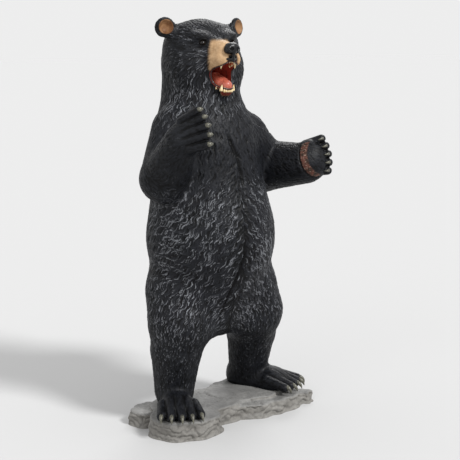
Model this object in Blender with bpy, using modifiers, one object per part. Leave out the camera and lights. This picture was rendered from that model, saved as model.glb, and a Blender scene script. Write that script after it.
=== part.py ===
"""A roaring black bear standing on a low slab of rock: a painted casting for a garden or a hall.

Two pieces: the bear, cast in one with its claws, teeth and tongue, and the rock under its feet.
Metres, +Z up. The bear faces -Y and its left side is +X. The origin is on the underside of
the rock, straight below the middle of the body.
"""

import math

import bmesh
import bpy
import numpy as np
from mathutils import Euler, Matrix, Vector

# Driving dimensions, in metres
FIGURE_HEIGHT = 1.60
ROCK_THICKNESS = 0.075
SOLE_CLEARANCE = 0.0003

# How finely the clay is worked, in metres, and how many triangles each piece keeps
ROUGH_GRAIN = 0.011
FINE_GRAIN = 0.0065
BEAR_TRIANGLES = 6000
ROCK_GRAIN = 0.009
ROCK_TRIANGLES = 1300

# Every place and radius of the figure is in thousandths of its height, measured from its soles
UNIT = FIGURE_HEIGHT / 1000
FARTHEST_BLEND = 75

# Locks of fur that are cut into the coat, in the same thousandths
LOCK_WIDTH = 32
LOCK_LENGTH = 72
LOCK_DEPTH = 4.6

# Folds between the big masses of the body: how wide, how deep and where each one runs
FOLDS = {
    "breast": (8, 8, [(-12, -89, 723), (-5, -102, 688), (9, -110, 656), (16, -117, 608), (17, -125, 560)]),
    "parting": (5, 3, [(17, -125, 575), (14, -129, 547), (7, -136, 513), (2, -143, 481), (-2, -145, 420)]),
    "groin": (
        6.5,
        7,
        [(2, -145, 455), (-3, -144, 408), (-10, -137, 375), (-18, -126, 337), (-27, -115, 303), (-41, -89, 214)],
    ),
    "right_thigh": (8, 4, [(-160, -28, 402), (-115, -86, 348), (-98, -96, 324), (-82, -99, 284), (-86, -103, 235)]),
}

COAT_COLOUR = (0.020, 0.021, 0.024, 1.0)
STONE_COLOUR = (0.36, 0.35, 0.33, 1.0)


class Lump:
    """An egg-shaped mass of clay. A hollow one is scooped out instead of added."""

    def __init__(self, centre, radii, blend, turn=(0, 0, 0), hollow=False):
        self.middle = np.array(centre, float)
        self.radii = np.array(radii, float)
        self.reach = self.radii.max()
        self.blend = blend
        self.hollow = hollow
        self.frame = np.array(Euler([math.radians(t) for t in turn]).to_matrix())

    def distance(self, points):
        local = (points - self.middle) @ self.frame
        near = np.linalg.norm(local / self.radii, axis=1)
        slope = np.linalg.norm(local / self.radii**2, axis=1)
        return near * (near - 1) / np.maximum(slope, 1e-6)

    def add_to(self, shape):
        place = Matrix.Translation(self.middle) @ Matrix(self.frame.tolist()).to_4x4()
        size = Matrix.Diagonal((*self.radii, 1))
        bmesh.ops.create_uvsphere(shape, u_segments=24, v_segments=14, radius=1, matrix=place @ size)


class Limb:
    """A rounded mass that tapers from one ball to another, such as a shin or a toe."""

    def __init__(self, start, end, start_radius, end_radius, blend):
        self.start = np.array(start, float)
        self.end = np.array(end, float)
        self.radii = (start_radius, end_radius)
        self.blend = blend
        self.hollow = False
        self.middle = (self.start + self.end) / 2
        self.reach = np.linalg.norm(self.end - self.start) / 2 + max(self.radii)

    def distance(self, points):
        axis = self.end - self.start
        share = np.clip((points - self.start) @ axis / (axis @ axis), 0, 1)
        nearest = self.start + share[:, None] * axis
        radius = self.radii[0] + share * (self.radii[1] - self.radii[0])
        return np.linalg.norm(points - nearest, axis=1) - radius

    def add_to(self, shape):
        axis = Vector(self.end - self.start)
        turn = axis.to_track_quat("Z", "Y").to_matrix().to_4x4()
        bmesh.ops.create_cone(
            shape,
            cap_ends=True,
            segments=20,
            radius1=self.radii[0],
            radius2=self.radii[1],
            depth=axis.length,
            matrix=Matrix.Translation(self.middle) @ turn,
        )
        for centre, radius in zip((self.start, self.end), self.radii):
            place = Matrix.Translation(centre)
            bmesh.ops.create_uvsphere(shape, u_segments=20, v_segments=12, radius=radius, matrix=place)


class Paw:
    """A hand or a foot: a pad and five digits in a fan, and the root and heading of each claw.

    ahead is the way that the digits point and back is the way that the furry side faces.
    """

    def __init__(self, pad, ahead, back, spread, reach, thickness, digit):
        pad, ahead, back = (np.array(v, float) for v in (pad, ahead, back))
        ahead /= np.linalg.norm(ahead)
        back -= ahead * (back @ ahead)
        self.back = back / np.linalg.norm(back)
        across = np.cross(ahead, self.back)
        frame = Matrix(np.stack([across, ahead, self.back], axis=1).tolist())
        turn = [math.degrees(t) for t in frame.to_euler()]
        self.masses = [Lump(pad, (spread + digit * 0.8, reach, thickness), 18, turn=turn)]
        self.claws = []
        for place in (-1, -0.5, 0, 0.5, 1):
            fan = ahead + across * place * 0.16
            fan /= np.linalg.norm(fan)
            row = pad + across * place * spread
            raised = (thickness - digit * 0.55) * (1 - 0.5 * place**2)
            knuckle = row - fan * reach * 0.3 + self.back * raised
            tip = row + fan * reach * (1.22 - 0.24 * place**2)
            self.masses.append(Limb(knuckle, tip, digit, digit * 0.9, 2))
            self.claws.append((tip + fan * digit * 0.5 + self.back * digit * 0.22, fan))


def both_sides(make):
    """A mass of the bear's left side and the same one of its right side."""
    return [make(1), make(-1)]


def torso():
    return [
        Lump((3, 0, 440), (175, 156, 196), 0),
        Lump((0, 14, 610), (148, 128, 170), 55),
        Lump((0, 16, 300), (150, 122, 120), 45),
        *both_sides(lambda s: Lump((s * 62, 20, 690), (74, 82, 84), 36)),
        Limb((0, 40, 690), (0, 44, 860), 112, 98, 50),
        Lump((0, -6, 236), (84, 84, 66), 22),
        Limb((0, 122, 330), (0, 146, 292), 26, 15, 20),
    ]


def head():
    return [
        Lump((0, 42, 905), (104, 80, 90), 30),
        *both_sides(lambda s: Lump((s * 54, 12, 866), (50, 46, 54), 25)),
        *both_sides(lambda s: Lump((s * 54, 38, 934), (44, 52, 44), 20)),
        *both_sides(lambda s: Lump((s * 42, -22, 948), (25, 18, 12), 20, turn=(0, s * -12, s * 14))),
        Limb((0, -8, 908), (0, -64, 907), 46, 31, 12),
        *both_sides(lambda s: Limb((s * 25, -24, 884), (s * 17, -72, 893), 27, 21, 8)),
        Limb((0, 8, 844), (0, -62, 823), 42, 24, 12),
        *both_sides(lambda s: Limb((s * 37, -16, 882), (s * 34, -24, 838), 18, 17, 12)),
        Lump((0, -95, 920), (19, 13, 13), 3),
        *both_sides(lambda s: Lump((s * 82, 40, 960), (24, 17, 20), 14)),
        *both_sides(lambda s: Lump((s * 111, 38, 972), (27, 13, 26), 12, turn=(0, s * 40, s * 24))),
    ]


def hollows():
    """The open mouth, the cups of the ears and the sockets of the eyes."""
    return [
        Lump((0, -66, 856), (34, 50, 38), 5, hollow=True),
        Lump((0, -34, 854), (26, 34, 20), 8, hollow=True),
        *both_sides(
            lambda s: Lump((s * 114, 25, 974), (18, 12, 17), 4, turn=(0, s * 40, s * 24), hollow=True)
        ),
        *both_sides(lambda s: Lump((s * 48, -43, 934), (12, 12, 8), 3, hollow=True)),
    ]


def fillings():
    """The tongue and the eyeballs, which lie in the hollows."""
    return [
        Limb((0, -26, 834), (0, -70, 829), 18, 15, 3),
        *both_sides(lambda s: Lump((s * 46, -32, 934), (8.5, 8.5, 7), 1)),
    ]


def leg(side):
    if side > 0:
        hip, thigh, knee, ankle = (104, -12, 296), (124, -14, 226), (147, 14, 158), (160, 46, 46)
    else:
        hip, thigh, knee, ankle = (-92, 6, 296), (-104, -18, 226), (-112, -8, 152), (-108, 9, 42)
    return [
        Limb(hip, thigh, 88, 86, 34),
        Limb(thigh, knee, 86, 67, 8),
        Limb(knee, ankle, 67, 53, 8),
    ]


def foot(side):
    heading = math.radians(31 if side > 0 else 26)
    ahead = np.array([side * math.sin(heading), -math.cos(heading), 0])
    ankle = leg(side)[2].end * (1, 1, 0)
    sole = Limb(ankle - ahead * 20 + (0, 0, 22), ankle + ahead * 66 + (0, 0, 14), 42, 40, 14)
    pad = ankle + ahead * (85 if side > 0 else 92) + (0, 0, 14)
    paw = Paw(pad, ahead, (0, 0, 1), 43, 44, 30, 13.5)
    return [sole, *paw.masses], paw


def arm(side):
    if side > 0:
        shoulder, elbow, wrist = (116, 20, 688), (190, 28, 606), (238, -98, 621)
        radii = (70, 71, 54)
    else:
        shoulder, elbow, wrist = (-100, 2, 716), (-157, -25, 602), (-163, -114, 702)
        radii = (66, 61, 44)
    return [
        Limb(shoulder, elbow, radii[0], radii[1], 20),
        Limb(elbow, wrist, radii[1], radii[2], 8),
    ]


def hand(side):
    if side > 0:
        return Paw((247, -113, 638), (0.80, -0.58, 0.20), (0.60, 0.75, -0.1), 37, 34, 28, 13)
    return Paw((-157, -144, 722), (0.30, -0.92, 0.42), (-0.93, -0.35, 0.1), 36, 39, 22, 12.5)


def figure():
    masses = torso() + head()
    for side in (1, -1):
        masses += leg(side) + foot(side)[0]
        masses += arm(side) + hand(side).masses
    return masses + hollows() + fillings()


def blended(masses, points):
    """The distance from each point to the skin of the clay, in thousandths, below zero inside."""
    found = np.full(len(points), 1e3)
    for mass in masses:
        gap = np.linalg.norm(points - mass.middle, axis=1) - mass.reach
        close = gap < FARTHEST_BLEND
        if not mass.hollow:
            found[~close] = np.minimum(found[~close], gap[~close])
        here, added = found[close], mass.distance(points[close])
        if mass.hollow:
            here = -here
        mix = np.maximum(mass.blend - np.abs(here - added), 0) / max(mass.blend, 1e-6)
        joined = np.minimum(here, added) - mix**2 * mass.blend / 4
        found[close] = -joined if mass.hollow else joined
    return found


def fade(values, start, end):
    """Goes smoothly from 0 at the start to 1 at the end."""
    share = np.clip((values - start) / (end - start), 0, 1)
    return share * share * (3 - 2 * share)


def locks(points, above_body):
    """How deep the coat is cut at each point: overlapping tufts that hang down the body."""
    across, depth, height = points.T
    around = np.arctan2(across, 20 - depth) * 150 + 9 * np.sin(height / 21)
    row = np.floor(height / LOCK_LENGTH + 0.25 * np.sin(around / 60))
    along = height / LOCK_LENGTH + 0.25 * np.sin(around / 60) - row
    column = around / LOCK_WIDTH + 0.5 * (row % 2)
    aside = np.abs(column - np.round(column)) * 2
    width = 0.3 + 0.75 * np.sqrt(along)
    tuft = np.maximum(1 - (aside / width) ** 2, 0) * (1 - 0.55 * along)
    cover = fade(height, 170, 260) * (1 - fade(height, 800, 850)) * (1 - fade(above_body, 3, 12))
    cover *= 1 - 0.45 * fade(depth, 20, 90)
    return LOCK_DEPTH * cover * (1 - tuft)


def folds(masses, points):
    """How deep the folds are at each point. Each fold is laid on the skin and fades at its ends."""
    found = np.zeros(len(points))
    for width, deepest, path in FOLDS.values():
        path = np.array(path, float)
        places = np.linspace(0, 1, 8 * len(path))
        corners = np.linspace(0, 1, len(path))
        path = np.stack([np.interp(places, corners, axis) for axis in path.T], axis=1)
        path = onto_skin(lambda spots: blended(masses, spots), path, 4)
        for place, spot in zip(places, path):
            gap = np.linalg.norm(points - spot, axis=1)
            strength = deepest * min(1, 6 * place, 6 * (1 - place))
            found = np.maximum(found, strength * np.exp(-((gap / width) ** 2)))
    return found


def onto_skin(distance, points, passes, farthest=12):
    """Moves each point straight onto the skin of the clay."""
    step = 0.4
    for _ in range(passes):
        depth = distance(points)
        slopes = np.stack([distance(points + step * axis) - depth for axis in np.eye(3)], axis=1) / step
        steep = np.maximum(np.sum(slopes**2, axis=1), 0.25)
        points = points - slopes * (np.clip(depth, -farthest, farthest) / steep)[:, None]
    return points


def settle(obj, distance, passes):
    """Moves each vertex straight onto the skin of the clay."""
    points = np.empty(len(obj.data.vertices) * 3)
    obj.data.vertices.foreach_get("co", points)
    points = onto_skin(distance, points.reshape(-1, 3) / UNIT, passes)
    obj.data.vertices.foreach_set("co", (points * UNIT).ravel())
    obj.data.update()


def raise_along_normals(obj, height):
    """Moves each vertex along its normal by a height that is worked out from its place."""
    count = len(obj.data.vertices)
    points, normals = np.empty(count * 3), np.empty(count * 3)
    obj.data.vertices.foreach_get("co", points)
    obj.data.vertices.foreach_get("normal", normals)
    points = points.reshape(-1, 3) / UNIT
    points += normals.reshape(-1, 3) * height(points)[:, None]
    obj.data.vertices.foreach_set("co", (points * UNIT).ravel())
    obj.data.update()


def new_object(name, shape, collection, colour=None):
    """An object with its own material, from a bmesh whose sizes are in thousandths."""
    bmesh.ops.scale(shape, vec=(UNIT, UNIT, UNIT), verts=shape.verts)
    mesh = bpy.data.meshes.new(name)
    shape.to_mesh(mesh)
    shape.free()
    obj = bpy.data.objects.new(name, mesh)
    collection.objects.link(obj)
    if colour is None:
        obj.hide_render = True
        obj.display_type = "WIRE"
        return obj
    material = bpy.data.materials.new(name)
    material.use_nodes = True
    shader = material.node_tree.nodes["Principled BSDF"]
    shader.inputs["Base Color"].default_value = colour
    shader.inputs["Roughness"].default_value = 0.6
    mesh.materials.append(material)
    return obj


def apply_modifiers(obj):
    bpy.context.view_layer.update()
    evaluated = obj.evaluated_get(bpy.context.evaluated_depsgraph_get())
    mesh = bpy.data.meshes.new_from_object(evaluated)
    obj.modifiers.clear()
    obj.data = mesh


def remesh(obj, grain):
    modifier = obj.modifiers.new("clay", "REMESH")
    modifier.mode = "VOXEL"
    modifier.voxel_size = grain
    apply_modifiers(obj)


def thin_out(obj, triangles):
    """Keeps about this many triangles, most of them where the surface bends."""
    modifier = obj.modifiers.new("thin", "DECIMATE")
    modifier.ratio = triangles / sum(len(face.vertices) - 2 for face in obj.data.polygons)
    apply_modifiers(obj)


def combine(obj, other, operation):
    modifier = obj.modifiers.new(other.name, "BOOLEAN")
    modifier.object = other
    modifier.operation = operation
    modifier.solver = "EXACT"
    apply_modifiers(obj)


def cut_flat(obj, level, keep_above):
    """Cuts the piece off flat at this height and closes the cut."""
    shape = bmesh.new()
    shape.from_mesh(obj.data)
    bmesh.ops.bisect_plane(
        shape,
        geom=shape.verts[:] + shape.edges[:] + shape.faces[:],
        plane_co=(0, 0, level),
        plane_no=(0, 0, 1),
        clear_inner=keep_above,
        clear_outer=not keep_above,
    )
    bmesh.ops.holes_fill(shape, edges=[edge for edge in shape.edges if edge.is_boundary])
    bmesh.ops.recalc_face_normals(shape, faces=shape.faces)
    shape.to_mesh(obj.data)
    shape.free()


def rough_clay(masses):
    shape = bmesh.new()
    for mass in masses:
        mass.add_to(shape)
    return shape


def grow_claw(shape, root, ahead, up, length, radius, bend=0, steps=4):
    """A claw or a tooth: a round face drawn out in steps, each turned down and made narrower."""
    sides, bluntness = 6, 0.16
    ahead, up = Vector(ahead).normalized(), Vector(up)
    side = ahead.cross(up).normalized()
    frame = ahead.to_track_quat("Z", "Y").to_matrix().to_4x4()
    frame.translation = root
    ring = bmesh.ops.create_circle(shape, cap_ends=True, segments=sides, radius=radius, matrix=frame)
    face = ring["verts"][0].link_faces[0]
    centre = Vector(root)
    for step in range(steps):
        narrower = radius * (1 - (1 - bluntness) * ((step + 1) / steps) ** 1.5)
        ahead.rotate(Matrix.Rotation(-bend / steps, 3, side))
        centre += ahead * (length / steps)
        drawn = bmesh.ops.extrude_discrete_faces(shape, faces=[face])["faces"]
        face = drawn[0]
        middle = face.calc_center_median()
        spokes = [(corner.co - middle).normalized() for corner in face.verts]
        for corner, spoke in zip(face.verts, spokes):
            spoke.rotate(Matrix.Rotation(-bend / steps, 3, side))
            corner.co = centre + spoke * narrower


def claws_and_teeth():
    shape = bmesh.new()
    for side in (1, -1):
        for root, fan in foot(side)[1].claws:
            grow_claw(shape, root, fan, (0, 0, 1), 24, 6.8, math.radians(78))
        paw = hand(side)
        for root, fan in paw.claws:
            if side > 0:
                grow_claw(shape, root - paw.back * 8 - fan * 4, fan * 0.25 - paw.back, fan, 22, 4.8, 1.9)
            else:
                grow_claw(shape, root, fan - paw.back * 0.25, paw.back, 17, 7, 1.7)
        grow_claw(shape, (side * 21, -78, 889), (0, -0.12, -1), (0, -1, 0), 20, 5.4, 0.3, steps=3)
        grow_claw(shape, (side * 18, -74, 816), (0, -0.1, 1), (0, 1, 0), 17, 5, 0.3, steps=3)
        for place in (1, 2, 3):
            across = side * (place * 4.6 - 2.3)
            grow_claw(shape, (across, -88 + place * 1.4, 896), (0, -0.1, -1), (0, -1, 0), 15, 2.7, steps=1)
            grow_claw(shape, (across, -81 + place, 812), (0, -0.1, 1), (0, 1, 0), 14, 2.6, steps=1)
    bmesh.ops.holes_fill(shape, edges=[edge for edge in shape.edges if edge.is_boundary])
    bmesh.ops.recalc_face_normals(shape, faces=shape.faces)
    return shape


def make_bear(collection, helpers):
    masses = figure()
    bear = new_object("bear", rough_clay(m for m in masses if not m.hollow), collection, COAT_COLOUR)
    mouth = new_object("mouth_scoop", rough_clay(hollows()[:1]), helpers)
    remesh(bear, ROUGH_GRAIN)
    combine(bear, mouth, "DIFFERENCE")
    settle(bear, lambda points: blended(masses, points), 3)
    remesh(bear, FINE_GRAIN)
    settle(bear, lambda points: blended(masses, points), 2)
    body = torso() + [part for side in (1, -1) for part in leg(side)[:2]]
    raise_along_normals(
        bear, lambda points: -np.maximum(locks(points, blended(body, points)), folds(body, points))
    )
    thin_out(bear, BEAR_TRIANGLES)
    horn = new_object("claws_and_teeth", claws_and_teeth(), helpers)
    combine(bear, horn, "UNION")
    cut_flat(bear, 0, keep_above=True)
    for corner in bear.data.vertices:
        corner.co.z += ROCK_THICKNESS + SOLE_CLEARANCE


class Slab:
    """A flat stone with an oval outline, a rounded rim and ledges in its edge.

    It goes on a little below the underside, where it is cut off flat.
    """

    def __init__(self, centre, radii, height, turn=0):
        sunk = 12
        self.ripple = sum(centre) / 40
        self.middle = np.array((*centre, (height - sunk) / 2), float)
        self.radii = np.array(radii, float)
        self.half = (height + sunk) / 2
        self.blend = 5
        self.hollow = False
        self.reach = self.radii.max() + self.half
        self.turn = math.radians(turn)

    def distance(self, points):
        rim = 6
        x, y, height = (points - self.middle).T
        local = np.stack(
            [
                x * math.cos(self.turn) + y * math.sin(self.turn),
                y * math.cos(self.turn) - x * math.sin(self.turn),
            ],
            axis=1,
        )
        near = np.linalg.norm(local / self.radii, axis=1)
        slope = np.linalg.norm(local / self.radii**2, axis=1)
        outside = near * (near - 1) / np.maximum(slope, 1e-6)
        bearing = np.arctan2(local[:, 1], local[:, 0])
        ledge = np.sin(points[:, 2] / 5.2 + 2 * np.sin(bearing * 3))
        outside += 2.6 * np.sin(bearing * 7 + self.ripple) + 1.8 * ledge + points[:, 2] * 0.1
        both = np.stack([outside + rim, np.abs(height) - self.half + rim], axis=1)
        return np.linalg.norm(np.maximum(both, 0), axis=1) + np.minimum(both.max(axis=1), 0) - rim

    def add_to(self, shape):
        place = Matrix.Translation(self.middle) @ Matrix.Rotation(self.turn, 4, "Z")
        size = Matrix.Diagonal((*self.radii, 1, 1))
        bmesh.ops.create_cone(
            shape,
            cap_ends=True,
            segments=40,
            radius1=1,
            radius2=1,
            depth=self.half * 2,
            matrix=place @ size,
        )


def rock_masses():
    full = ROCK_THICKNESS / UNIT
    return [
        Slab((-40, -4), (150, 94), full),
        Slab((-126, -70), (98, 82), full, turn=-12),
        Slab((-163, 40), (60, 50), full * 0.84),
        Slab((130, 14), (128, 100), full, turn=8),
        Slab((142, -62), (116, 52), full * 0.82, turn=2),
        Slab((258, -62), (38, 26), full * 0.7, turn=-20),
        Slab((108, 90), (40, 24), full * 0.92),
    ]


def make_rock(collection):
    masses = rock_masses()
    rock = new_object("rock_base", rough_clay(masses), collection, STONE_COLOUR)
    remesh(rock, ROCK_GRAIN)
    settle(rock, lambda points: blended(masses, points), 3)
    cut_flat(rock, 0, keep_above=True)
    thin_out(rock, ROCK_TRIANGLES)
    cut_flat(rock, ROCK_THICKNESS, keep_above=False)


def main():
    for obj in list(bpy.data.objects):
        bpy.data.objects.remove(obj)
    statue = bpy.data.collections.new("bear_statue")
    helpers = bpy.data.collections.new("helpers")
    for collection in (statue, helpers):
        bpy.context.scene.collection.children.link(collection)
    make_bear(statue, helpers)
    make_rock(statue)


main()
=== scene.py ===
"""Looks of a standing, roaring black bear cast in resin and painted, on its slab of rock."""

import math

import bmesh
import bpy
import numpy as np
from mathutils import Euler, Matrix, Vector, noise


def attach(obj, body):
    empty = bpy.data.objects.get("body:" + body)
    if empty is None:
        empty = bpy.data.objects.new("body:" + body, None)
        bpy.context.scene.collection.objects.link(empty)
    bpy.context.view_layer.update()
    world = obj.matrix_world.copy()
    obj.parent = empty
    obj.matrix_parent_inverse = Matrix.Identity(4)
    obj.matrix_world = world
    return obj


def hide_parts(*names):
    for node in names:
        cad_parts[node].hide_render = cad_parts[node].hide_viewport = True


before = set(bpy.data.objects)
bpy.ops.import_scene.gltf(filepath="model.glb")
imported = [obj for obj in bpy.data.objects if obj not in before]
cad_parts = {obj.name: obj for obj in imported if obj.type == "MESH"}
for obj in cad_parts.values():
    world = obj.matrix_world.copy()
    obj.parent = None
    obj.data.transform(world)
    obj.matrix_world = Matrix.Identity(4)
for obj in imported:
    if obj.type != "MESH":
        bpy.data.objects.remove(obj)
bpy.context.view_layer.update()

# The camera stands level with the bear's head, to the right of its front, and looks down a
# little. The bear is left of the middle of the frame.
CAMERA_TURN = math.radians(-35)
CAMERA_AWAY, CAMERA_HEIGHT, AIM_HEIGHT = 4.5, 1.6, 0.80
FRAME_PIXELS, PIXELS_PER_METRE, PIXELS_ASIDE = 460, 240, 20
SENSOR = 36


def object_of(data, name):
    """An object in the scene that shows the data."""
    obj = bpy.data.objects.new(name, data)
    bpy.context.scene.collection.objects.link(obj)
    return obj


eye_point = Vector(
    (math.sin(CAMERA_TURN) * CAMERA_AWAY, -math.cos(CAMERA_TURN) * CAMERA_AWAY, CAMERA_HEIGHT)
)
line_of_sight = Vector((0, 0, AIM_HEIGHT)) - eye_point
camera = object_of(bpy.data.cameras.new("camera"), "camera")
bpy.context.scene.camera = camera
camera.location = eye_point
camera.rotation_euler = line_of_sight.to_track_quat("-Z", "Y").to_euler()
camera.data.sensor_width = SENSOR
camera.data.lens = PIXELS_PER_METRE * line_of_sight.length * SENSOR / FRAME_PIXELS
camera.data.shift_x = PIXELS_ASIDE / FRAME_PIXELS


# The bear is one hollow casting of resin. It was modelled in clay: a barrel of a body, a heavy
# head, four limbs and the paws' pads and digits, pressed together and smoothed where they meet.
# Places and radii are in thousandths of the figure's height, from its soles.
FIGURE_HEIGHT = 1.60
ROCK_THICKNESS = 0.075
UNIT = FIGURE_HEIGHT / 1000
SOLE_LEVEL = ROCK_THICKNESS + 0.0003
FARTHEST_BLEND = 75
ROUGH_GRAIN, MIDDLE_GRAIN = 0.011, 0.0065
BODY_GRAIN, HEAD_GRAIN = 0.0032, 0.00275
FAR_AWAY = 1e3


def off_egg(local, radii):
    """How far points lie off an egg or an oval of these radii, below zero inside."""
    near = np.linalg.norm(local / radii, axis=1)
    slope = np.linalg.norm(local / radii**2, axis=1)
    return near * (near - 1) / np.maximum(slope, 1e-6)


class Lump:
    """An egg-shaped mass of clay. A hollow one is scooped out instead of added."""

    def __init__(self, centre, radii, blend, turn=(0, 0, 0), hollow=False):
        self.middle = np.array(centre, float)
        self.radii = np.array(radii, float)
        self.reach = self.radii.max()
        self.blend = blend
        self.hollow = hollow
        self.frame = np.array(Euler([math.radians(t) for t in turn]).to_matrix())

    def distance(self, points):
        return off_egg((points - self.middle) @ self.frame, self.radii)

    def add_to(self, shape):
        place = Matrix.Translation(self.middle) @ Matrix(self.frame.tolist()).to_4x4()
        size = Matrix.Diagonal((*self.radii, 1))
        bmesh.ops.create_icosphere(shape, subdivisions=3, radius=1, matrix=place @ size)


class Limb:
    """A rounded mass that tapers from one ball to another, such as a shin or a toe."""

    def __init__(self, start, end, start_radius, end_radius, blend, hollow=False):
        self.start = np.array(start, float)
        self.end = np.array(end, float)
        self.radii = (start_radius, end_radius)
        self.blend = blend
        self.hollow = hollow
        self.middle = (self.start + self.end) / 2
        self.reach = np.linalg.norm(self.end - self.start) / 2 + max(self.radii)

    def distance(self, points):
        axis = self.end - self.start
        share = np.clip((points - self.start) @ axis / (axis @ axis), 0, 1)
        nearest = self.start + share[:, None] * axis
        radius = self.radii[0] + share * (self.radii[1] - self.radii[0])
        return np.linalg.norm(points - nearest, axis=1) - radius

    def add_to(self, shape):
        axis = Vector(self.end - self.start)
        turn = axis.to_track_quat("Z", "Y").to_matrix().to_4x4()
        bmesh.ops.create_cone(
            shape,
            cap_ends=True,
            segments=20,
            radius1=self.radii[0],
            radius2=self.radii[1],
            depth=axis.length,
            matrix=Matrix.Translation(self.middle) @ turn,
        )
        for centre, radius in zip((self.start, self.end), self.radii):
            place = Matrix.Translation(centre)
            bmesh.ops.create_icosphere(shape, subdivisions=3, radius=radius, matrix=place)


class Paw:
    """A hand or a foot: a pad and five digits in a fan, and the root and heading of each claw."""

    def __init__(self, pad, ahead, back, spread, reach, thickness, digit):
        pad, ahead, back = (np.array(v, float) for v in (pad, ahead, back))
        ahead /= np.linalg.norm(ahead)
        back -= ahead * (back @ ahead)
        self.back = back / np.linalg.norm(back)
        self.ahead, self.middle = ahead, pad
        self.across = np.cross(ahead, self.back)
        frame_axes = Matrix(np.stack([self.across, ahead, self.back], axis=1).tolist())
        turn = [math.degrees(t) for t in frame_axes.to_euler()]
        self.masses = [Lump(pad, (spread + digit * 0.8, reach, thickness), 18, turn=turn)]
        self.claws = []
        for place in (-1, -0.5, 0, 0.5, 1):
            fan = ahead + self.across * place * 0.16
            fan /= np.linalg.norm(fan)
            row = pad + self.across * place * spread
            raised = (thickness - digit * 0.55) * (1 - 0.5 * place**2)
            knuckle = row - fan * reach * 0.3 + self.back * raised
            tip = row + fan * reach * (1.22 - 0.24 * place**2)
            self.masses.append(Limb(knuckle, tip, digit, digit * 0.9, 2))
            self.claws.append((tip + fan * digit * 0.5 + self.back * digit * 0.22, fan))


def both_sides(make):
    """A mass of the bear's left side and the same one of its right side."""
    return [make(1), make(-1)]


def torso():
    return [
        Lump((3, 0, 440), (175, 156, 196), 0),
        Lump((0, 14, 610), (148, 128, 170), 55),
        Lump((0, 16, 300), (150, 122, 120), 45),
        *both_sides(lambda s: Lump((s * 62, 20, 690), (74, 82, 84), 36)),
        Limb((0, 40, 690), (0, 44, 860), 112, 98, 50),
        Lump((0, -6, 236), (84, 84, 66), 22),
        Limb((0, 122, 330), (0, 146, 292), 26, 15, 20),
    ]


def nose_pad():
    return Lump((0, -95, 920), (19, 13, 13), 3)


def head():
    return [
        Lump((0, 42, 905), (104, 80, 90), 30),
        *both_sides(lambda s: Lump((s * 54, 12, 866), (50, 46, 54), 25)),
        *both_sides(lambda s: Lump((s * 54, 38, 934), (44, 52, 44), 20)),
        *both_sides(
            lambda s: Lump((s * 42, -22, 948), (25, 18, 12), 20, turn=(0, s * -12, s * 14))
        ),
        Limb((0, -8, 908), (0, -64, 907), 46, 31, 12),
        *both_sides(lambda s: Limb((s * 25, -24, 884), (s * 17, -72, 893), 27, 21, 8)),
        Limb((0, 8, 844), (0, -62, 823), 42, 24, 12),
        *both_sides(lambda s: Limb((s * 37, -16, 882), (s * 34, -24, 838), 18, 17, 12)),
        nose_pad(),
        *both_sides(lambda s: Lump((s * 82, 40, 960), (24, 17, 20), 14)),
        *both_sides(lambda s: Lump((s * 111, 38, 972), (27, 13, 26), 12, turn=(0, s * 40, s * 24))),
    ]


def mouth_hollow():
    return [
        Lump((0, -66, 856), (34, 50, 38), 5, hollow=True),
        Lump((0, -34, 854), (26, 34, 20), 8, hollow=True),
    ]


def small_hollows():
    return [
        *both_sides(
            lambda s: Lump(
                (s * 114, 25, 974), (18, 12, 17), 4, turn=(0, s * 40, s * 24), hollow=True
            )
        ),
        *both_sides(lambda s: Lump((s * 48, -43, 934), (12, 12, 8), 3, hollow=True)),
    ]


def leg(side):
    if side > 0:
        hip, thigh, knee, ankle = (104, -12, 296), (124, -14, 226), (147, 14, 158), (160, 46, 46)
    else:
        hip, thigh, knee, ankle = (-92, 6, 296), (-104, -18, 226), (-112, -8, 152), (-108, 9, 42)
    return [
        Limb(hip, thigh, 88, 86, 34),
        Limb(thigh, knee, 86, 67, 8),
        Limb(knee, ankle, 67, 53, 8),
    ]


def foot(side):
    heading = math.radians(31 if side > 0 else 26)
    ahead = np.array([side * math.sin(heading), -math.cos(heading), 0])
    ankle = leg(side)[2].end * (1, 1, 0)
    sole = Limb(ankle - ahead * 20 + (0, 0, 22), ankle + ahead * 66 + (0, 0, 14), 42, 40, 14)
    pad = ankle + ahead * (85 if side > 0 else 92) + (0, 0, 14)
    paw = Paw(pad, ahead, (0, 0, 1), 43, 44, 30, 13.5)
    return [sole, *paw.masses], paw


def arm(side):
    if side > 0:
        shoulder, elbow, wrist = (116, 20, 688), (190, 28, 606), (238, -98, 621)
        radii = (70, 71, 54)
    else:
        shoulder, elbow, wrist = (-100, 2, 716), (-157, -25, 602), (-163, -114, 702)
        radii = (66, 61, 44)
    return [
        Limb(shoulder, elbow, radii[0], radii[1], 20),
        Limb(elbow, wrist, radii[1], radii[2], 8),
    ]


def hand(side):
    if side > 0:
        return Paw((247, -113, 638), (0.80, -0.58, 0.20), (0.60, 0.75, -0.1), 37, 34, 28, 13)
    return Paw((-157, -144, 722), (0.30, -0.92, 0.42), (-0.93, -0.35, 0.1), 36, 39, 22, 12.5)


limb_masses = {
    "left_arm": arm(1),
    "right_arm": arm(-1),
    "left_hand": hand(1).masses,
    "right_hand": hand(-1).masses,
    "left_leg": leg(1),
    "right_leg": leg(-1),
    "left_foot": foot(1)[0],
    "right_foot": foot(-1)[0],
}
flesh = torso() + head()
for name in ("leg", "foot", "arm", "hand"):
    flesh += limb_masses["left_" + name] + limb_masses["right_" + name]
clay = flesh + mouth_hollow() + small_hollows()


def in_cells(points, cell):
    """Groups of points that lie in the same small cube of space, as lists of their numbers."""
    keys = np.floor(points / cell).astype(np.int64) + 500
    keys = (keys[:, 0] * 1000 + keys[:, 1]) * 1000 + keys[:, 2]
    order = np.argsort(keys, kind="stable")
    borders = np.flatnonzero(np.diff(keys[order])) + 1
    return np.split(order, borders)


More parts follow.
